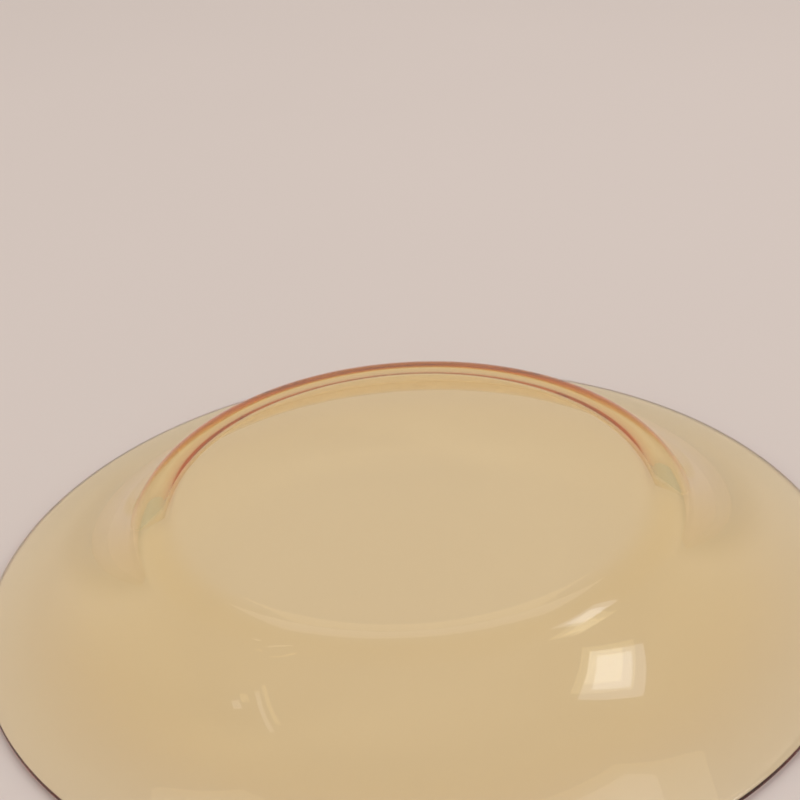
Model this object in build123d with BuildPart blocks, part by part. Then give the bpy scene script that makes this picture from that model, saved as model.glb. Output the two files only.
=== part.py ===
from build123d import *
from math import cos, radians, sin
import os

# A deep round plate of tinted glass, in one piece, lying upside down on its rim.
# Millimetres, +Z up. The origin is the centre of the circle that the rim rests on.
# Slopes are in degrees below level, going outwards.

rim_diameter = 260.0  # over the outer edge of the rim
rim_glass = 3.0  # thickness at the rim, which is rounded to a half circle
base_glass = 3.8  # thickness over the flat of the base

# Outside: flat base, shoulder, wall, flare and flank.
base_flat_diameter = 144.4
shoulder_radius = 12.0
wall_slope = 54.0
wall_run = 3.0
flare_radius = 54.0
flank_slope = 14.0

# Inside: the flank slopes less, so the glass thickens from the rim to the wall.
inner_flank_slope = 11.3
inner_flare_radius = 55.7

steep = radians(wall_slope)
gentle = radians(flank_slope)
inner_gentle = radians(inner_flank_slope)
rim_round = rim_glass / 2

flare_start = base_flat_diameter / 2 + shoulder_radius * sin(steep) + wall_run * cos(steep)
flank_start = flare_start + flare_radius * (sin(steep) - sin(gentle))
flank_end = rim_diameter / 2 - rim_round * (1 - sin(gentle))
flank_length = (flank_end - flank_start) / cos(gentle)

flank_height = rim_round * (1 + cos(gentle)) + flank_length * sin(gentle)
wall_height = flank_height + flare_radius * (cos(gentle) - cos(steep)) + wall_run * sin(steep)
overall_height = wall_height + shoulder_radius * (1 - cos(steep))

well_height = overall_height - base_glass
inner_flank_height = rim_round * (1 - cos(inner_gentle)) + flank_length * sin(inner_gentle)
inner_wall_height = inner_flank_height + inner_flare_radius * (cos(inner_gentle) - cos(steep))
inner_shoulder_radius = (well_height - inner_wall_height) / (1 - cos(steep))

with BuildPart() as glass_plate:
    with BuildSketch(Plane.XZ):
        with BuildLine():
            base = Line((0, overall_height), (base_flat_diameter / 2, overall_height))
            shoulder = JernArc(base @ 1, base % 1, shoulder_radius, -wall_slope)
            wall = PolarLine(shoulder @ 1, wall_run, direction=shoulder % 1)
            flare = JernArc(wall @ 1, wall % 1, flare_radius, wall_slope - flank_slope)
            flank = PolarLine(flare @ 1, flank_length, direction=flare % 1)
            rim_turn = 180 - flank_slope + inner_flank_slope
            rim = JernArc(flank @ 1, flank % 1, rim_round, -rim_turn)
            inner_flank = PolarLine(rim @ 1, flank_length, direction=rim % 1)
            inner_flare = JernArc(
                inner_flank @ 1, inner_flank % 1, inner_flare_radius, inner_flank_slope - wall_slope
            )
            inner_shoulder = JernArc(
                inner_flare @ 1, inner_flare % 1, inner_shoulder_radius, wall_slope
            )
            inner_base = Line(inner_shoulder @ 1, (0, well_height))
            Line(inner_base @ 1, base @ 0)
        make_face()
    revolve(axis=Axis.Z)

glass_plate.part.label = "glass_plate"
os.makedirs("parts", exist_ok=True)
export_step(glass_plate.part, "parts/glass_plate.step")
print(f"overall height {overall_height:.2f} mm, inner shoulder radius {inner_shoulder_radius:.2f} mm")
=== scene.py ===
"""A deep plate in pale amber glass, lying upside down on a pale table in soft studio light."""

import math

import bpy
from mathutils import Matrix, Vector, noise


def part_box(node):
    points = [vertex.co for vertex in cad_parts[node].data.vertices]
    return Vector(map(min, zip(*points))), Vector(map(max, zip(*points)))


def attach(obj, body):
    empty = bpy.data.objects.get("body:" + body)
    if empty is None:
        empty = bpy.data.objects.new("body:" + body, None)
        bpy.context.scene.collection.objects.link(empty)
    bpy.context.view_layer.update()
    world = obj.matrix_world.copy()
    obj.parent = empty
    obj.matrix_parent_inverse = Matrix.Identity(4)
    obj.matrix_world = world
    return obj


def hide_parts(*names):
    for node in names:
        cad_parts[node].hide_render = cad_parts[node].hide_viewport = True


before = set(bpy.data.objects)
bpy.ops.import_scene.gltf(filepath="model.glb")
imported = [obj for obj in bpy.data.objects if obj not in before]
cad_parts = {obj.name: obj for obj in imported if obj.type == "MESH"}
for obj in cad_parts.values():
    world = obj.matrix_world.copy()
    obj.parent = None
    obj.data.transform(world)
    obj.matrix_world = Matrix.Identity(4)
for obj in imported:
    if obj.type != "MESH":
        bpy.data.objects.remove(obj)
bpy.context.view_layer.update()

# Metres from here on; slopes are in degrees below level. The rim rests on z = 0.
NODE = "glass_plate"
LOW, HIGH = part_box(NODE)
RIM_RADIUS = (HIGH[0] - LOW[0]) / 2
HEIGHT = HIGH[2]

# The plate's outline, as it is designed.
RIM_GLASS = 0.0030
BASE_GLASS = 0.0038
BASE_FLAT = 0.0722  # radius
SHOULDER = 0.0120
WALL_SLOPE = 54.0
WALL_RUN = 0.0030
FLARE = 0.0540
FLANK_SLOPE = 14.0
INNER_FLANK_SLOPE = 11.3
INNER_FLARE = 0.0557
SEGMENTS = 384  # round the plate
FLAT_STEPS = 12
BEND_STEPS = 28
FLANK_STEPS = 12
RIM_STEPS = 14
WAVE_DEPTH = 0.000025  # faint unevenness of pressed glass
WAVE_LENGTH = 0.040
WAVE_SEED = 7  # without a seed the waves change from run to run
RIPPLE_DEPTH = 0.000002  # finer still, in the shading
RIPPLES = 90.0  # per metre

# What the glass takes out of the light, per metre, in red, green and blue.
ABSORPTION = (3.6, 20.5, 77.0)
GLASS_IOR = 1.5
STRONGEST_TAKE = 0.97  # the absorption node's share for the channel that it dims most

TABLE_COLOUR = (0.675, 0.589, 0.540)
TABLE_MOTTLE = 0.012  # how far the colour strays from its mean
MOTTLE_SCALE = 2.2
GRAIN_SCALE = 900
GRAIN_DEPTH = 0.00003
TABLE_ROUGHNESS = (0.62, 0.78)
TABLE_SIZE = 40.0
WORLD_COLOUR = (1.0, 0.965, 0.94)
WORLD_STRENGTH = 0.845
WORLD_HORIZON = 0.52  # low down, behind the plate
WORLD_DARK_TO = 12.0  # degrees above the horizon
WORLD_FULL_FROM = 28.0
WORLD_LEAN = 0.6  # how fast the dark part ends to the sides
KEY_COLOUR = (0.92, 1.0, 1.15)

# The camera stands in front of the plate, in rim radii, and looks down at it.
CAMERA_BACK = 2.778
CAMERA_UP = 1.975
CAMERA_TURN = -0.137
CAMERA_PITCH = 28.50
CAMERA_ROLL = -3.912
CAMERA_LENS = 64.15


def run(outline, heading, length, steps):
    """Carries an outline of (radius, height) points straight on; heading is in degrees above level."""
    r, z = outline[-1]
    a = math.radians(heading)
    for i in range(1, steps + 1):
        d = length * i / steps
        outline.append((r + d * math.cos(a), z + d * math.sin(a)))
    return heading


def bend(outline, heading, radius, turn, steps):
    """Carries an outline round an arc that turns it by so many degrees, anticlockwise where positive."""
    r, z = outline[-1]
    first, last = math.radians(heading), math.radians(heading + turn)
    way = math.copysign(radius, turn)
    for i in range(1, steps + 1):
        a = first + (last - first) * i / steps
        across = way * (math.sin(a) - math.sin(first))
        down = way * (math.cos(a) - math.cos(first))
        outline.append((r + across, z - down))
    return heading + turn


def plate_outline():
    """The section of the glass: outside from the axis to the rim, then inside back to the axis."""
    steep, gentle = math.radians(WALL_SLOPE), math.radians(FLANK_SLOPE)
    inner_gentle = math.radians(INNER_FLANK_SLOPE)
    rim = RIM_GLASS / 2
    flare_start = BASE_FLAT + SHOULDER * math.sin(steep) + WALL_RUN * math.cos(steep)
    flank_start = flare_start + FLARE * (math.sin(steep) - math.sin(gentle))
    flank = (RIM_RADIUS - rim * (1 - math.sin(gentle)) - flank_start) / math.cos(gentle)
    well = HEIGHT - BASE_GLASS
    inner_wall = rim * (1 - math.cos(inner_gentle)) + flank * math.sin(inner_gentle)
    inner_wall += INNER_FLARE * (math.cos(inner_gentle) - math.cos(steep))
    inner_shoulder = (well - inner_wall) / (1 - math.cos(steep))

    outline = [(0.0, HEIGHT)]
    way = run(outline, 0, BASE_FLAT, FLAT_STEPS)
    way = bend(outline, way, SHOULDER, -WALL_SLOPE, BEND_STEPS)
    way = run(outline, way, WALL_RUN, 1)
    way = bend(outline, way, FLARE, WALL_SLOPE - FLANK_SLOPE, BEND_STEPS)
    way = run(outline, way, flank, FLANK_STEPS)
    way = bend(outline, way, rim, FLANK_SLOPE - INNER_FLANK_SLOPE - 180, RIM_STEPS)
    way = run(outline, way, flank, FLANK_STEPS)
    way = bend(outline, way, INNER_FLARE, INNER_FLANK_SLOPE - WALL_SLOPE, BEND_STEPS)
    way = bend(outline, way, inner_shoulder, WALL_SLOPE, BEND_STEPS)
    run(outline, way, outline[-1][0], FLAT_STEPS)
    outline[-1] = (0.0, well)
    return outline


def wave_share(r):
    """The waves fade out towards the rim and the axis, which stay true."""
    return min(1.0, (RIM_RADIUS - r) / WAVE_LENGTH, r / WAVE_LENGTH)


def lathe(name, outline):
    """Turns an outline that starts and ends on the axis into a closed, smooth mesh."""
    noise.seed_set(WAVE_SEED)
    verts = []
    rings = []
    for r, z in outline:
        if r < 1e-9:
            rings.append([len(verts)])
            verts.append((0.0, 0.0, z))
            continue
        rings.append(range(len(verts), len(verts) + SEGMENTS))
        for k in range(SEGMENTS):
            a = 2 * math.pi * k / SEGMENTS
            spot = Vector((r * math.cos(a), r * math.sin(a), z))
            verts.append(spot + WAVE_DEPTH * wave_share(r) * noise.noise_vector(spot / WAVE_LENGTH))
    faces = []
    for one, two in zip(rings, rings[1:]):
        for k in range(SEGMENTS):
            n = (k + 1) % SEGMENTS
            if len(one) == 1:
                faces.append((one[0], two[k], two[n]))
            elif len(two) == 1:
                faces.append((one[k], two[0], one[n]))
            else:
                faces.append((one[k], two[k], two[n], one[n]))
    mesh = bpy.data.meshes.new(name)
    mesh.from_pydata(verts, [], faces)
    mesh.validate()
    mesh.shade_smooth()
    piece = bpy.data.objects.new(name, mesh)
    bpy.context.scene.collection.objects.link(piece)
    return piece


def glass_material():
    """Clear amber glass: the tint is in its depth, so long ways through it look deep orange."""
    material = bpy.data.materials.new("pale_amber_glass")
    material.use_nodes = True
    nodes, links = material.node_tree.nodes, material.node_tree.links
    shader = nodes["Principled BSDF"]
    shader.inputs["Base Color"].default_value = (1, 1, 1, 1)
    shader.inputs["Transmission Weight"].default_value = 1
    shader.inputs["Roughness"].default_value = 0
    shader.inputs["IOR"].default_value = GLASS_IOR
    depth = nodes.new("ShaderNodeVolumeAbsorption")
    density = max(ABSORPTION) / STRONGEST_TAKE
    depth.inputs["Color"].default_value = [1 - a / density for a in ABSORPTION] + [1]
    depth.inputs["Density"].default_value = density
    links.new(depth.outputs["Volume"], nodes["Material Output"].inputs["Volume"])

    place = nodes.new("ShaderNodeTexCoord")
    ripple = nodes.new("ShaderNodeTexNoise")
    ripple.inputs["Scale"].default_value = RIPPLES
    ripple.inputs["Detail"].default_value = 1
    bump = nodes.new("ShaderNodeBump")
    bump.inputs["Distance"].default_value = RIPPLE_DEPTH
    links.new(place.outputs["Object"], ripple.inputs["Vector"])
    links.new(ripple.outputs["Fac"], bump.inputs["Height"])
    links.new(bump.outputs["Normal"], shader.inputs["Normal"])
    return material


def table_material():
    """Matt painted board: a soft mottle in the colour, and a fine grain that breaks up the sheen."""
    material = bpy.data.materials.new("matt_table")
    material.use_nodes = True
    nodes, links = material.node_tree.nodes, material.node_tree.links
    shader = nodes["Principled BSDF"]
    shader.inputs["Specular IOR Level"].default_value = 0.15
    place = nodes.new("ShaderNodeTexCoord")
    mottle = nodes.new("ShaderNodeTexNoise")
    mottle.inputs["Scale"].default_value = MOTTLE_SCALE
    mottle.inputs["Detail"].default_value = 3
    tone = nodes.new("ShaderNodeValToRGB")
    for stop, share in zip(tone.color_ramp.elements, (1 - TABLE_MOTTLE, 1 + TABLE_MOTTLE)):
        stop.color = (*(c * share for c in TABLE_COLOUR), 1)
    tone.color_ramp.elements[0].position = 0.3
    tone.color_ramp.elements[1].position = 0.7
    grain = nodes.new("ShaderNodeTexNoise")
    grain.inputs["Scale"].default_value = GRAIN_SCALE
    rough = nodes.new("ShaderNodeMapRange")
    rough.inputs["To Min"].default_value, rough.inputs["To Max"].default_value = TABLE_ROUGHNESS
    bump = nodes.new("ShaderNodeBump")
    bump.inputs["Distance"].default_value = GRAIN_DEPTH
    bump.inputs["Strength"].default_value = 0.3
    links.new(place.outputs["Object"], mottle.inputs["Vector"])
    links.new(place.outputs["Object"], grain.inputs["Vector"])
    links.new(mottle.outputs["Fac"], tone.inputs["Fac"])
    links.new(tone.outputs["Color"], shader.inputs["Base Color"])
    links.new(grain.outputs["Fac"], rough.inputs["Value"])
    links.new(rough.outputs["Result"], shader.inputs["Roughness"])
    links.new(grain.outputs["Fac"], bump.inputs["Height"])
    links.new(bump.outputs["Normal"], shader.inputs["Normal"])
    return material


def make_plate():
    plate = lathe("plate", plate_outline())
    plate.data.materials.append(glass_material())
    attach(plate, "root")
    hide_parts(NODE)


def make_table():
    half = TABLE_SIZE / 2
    mesh = bpy.data.meshes.new("table")
    corners = [(-half, -half, 0), (half, -half, 0), (half, half, 0), (-half, half, 0)]
    mesh.from_pydata(corners, [], [(0, 1, 2, 3)])
    mesh.materials.append(table_material())
    table = bpy.data.objects.new("table", mesh)
    bpy.context.scene.collection.objects.link(table)


def make_softbox(name, azimuth, elevation, distance, size, power, colour=(1, 1, 1)):
    """A rectangular light that looks at the plate: degrees, metres and watts."""
    light = bpy.data.lights.new(name, "AREA")
    light.shape = "RECTANGLE"
    light.size, light.size_y = size
    light.energy = power
    light.color = colour
    lamp = bpy.data.objects.new(name, light)
    a, e = math.radians(azimuth), math.radians(elevation)
    way = Vector((math.cos(a) * math.cos(e), math.sin(a) * math.cos(e), math.sin(e)))
    lamp.location = way * distance
    lamp.rotation_euler = way.to_track_quat("Z", "Y").to_euler()
    bpy.context.scene.collection.objects.link(lamp)


def make_world():
    """An even sky, darker low down behind the plate."""
    world = bpy.data.worlds.new("studio")
    world.use_nodes = True
    nodes, links = world.node_tree.nodes, world.node_tree.links
    sky = nodes["Background"]
    sky.inputs["Color"].default_value = (*WORLD_COLOUR, 1)
    way = nodes.new("ShaderNodeTexCoord")
    parts = nodes.new("ShaderNodeSeparateXYZ")
    rise = nodes.new("ShaderNodeMapRange")
    rise.interpolation_type = "SMOOTHSTEP"
    rise.inputs["From Min"].default_value = math.sin(math.radians(WORLD_DARK_TO)) - WORLD_LEAN
    rise.inputs["From Max"].default_value = math.sin(math.radians(WORLD_FULL_FROM)) - WORLD_LEAN
    rise.inputs["To Min"].default_value = WORLD_HORIZON
    rise.inputs["To Max"].default_value = WORLD_STRENGTH
    links.new(way.outputs["Generated"], parts.inputs["Vector"])
    lean = nodes.new("ShaderNodeMath")  # height, less the way's lean towards the back of the studio
    lean.operation = "MULTIPLY_ADD"
    lean.inputs[1].default_value = -WORLD_LEAN
    links.new(parts.outputs["Y"], lean.inputs[0])
    links.new(parts.outputs["Z"], lean.inputs[2])
    links.new(lean.outputs["Value"], rise.inputs["Value"])
    links.new(rise.outputs["Result"], sky.inputs["Strength"])
    bpy.context.scene.world = world


def make_lights():
    make_softbox("key", -17.5, 38, 1.6, (0.52, 0.52), 1.5, KEY_COLOUR)
    make_softbox("key core", -18.5, 37, 1.6, (0.32, 0.36), 0.8, KEY_COLOUR)
    make_softbox("overhead", 90, 67, 1.2, (1.0, 0.46), 1.3)
    make_softbox("left window", -160, 40, 1.6, (0.07, 0.09), 0.03)
    make_softbox("left strip", -151, 43, 1.6, (0.04, 0.45), 0.08)


def make_camera():
    camera = bpy.data.cameras.new("camera")
    camera.lens = CAMERA_LENS
    camera.sensor_width = 36
    camera.clip_start = 0.01
    camera.clip_end = 200
    item = bpy.data.objects.new("camera", camera)
    turn, pitch, roll = (math.radians(a) for a in (CAMERA_TURN, CAMERA_PITCH, CAMERA_ROLL))
    aim = Matrix.Rotation(-turn, 4, "Z") @ Matrix.Rotation(math.pi / 2 - pitch, 4, "X")
    place = Matrix.Translation((0, -CAMERA_BACK * RIM_RADIUS, CAMERA_UP * RIM_RADIUS))
    item.matrix_world = place @ aim @ Matrix.Rotation(roll, 4, "Z")
    bpy.context.scene.collection.objects.link(item)
    bpy.context.scene.camera = item


make_plate()
make_table()
make_world()
make_lights()
make_camera()
bpy.context.scene.view_settings.view_transform = "Standard"
# Light runs a long way inside the glass, so its paths are neither blurred nor cut short.
cycles = bpy.context.scene.cycles
cycles.blur_glossy = 0
cycles.max_bounces = 32
cycles.glossy_bounces = 24
cycles.transmission_bounces = 32
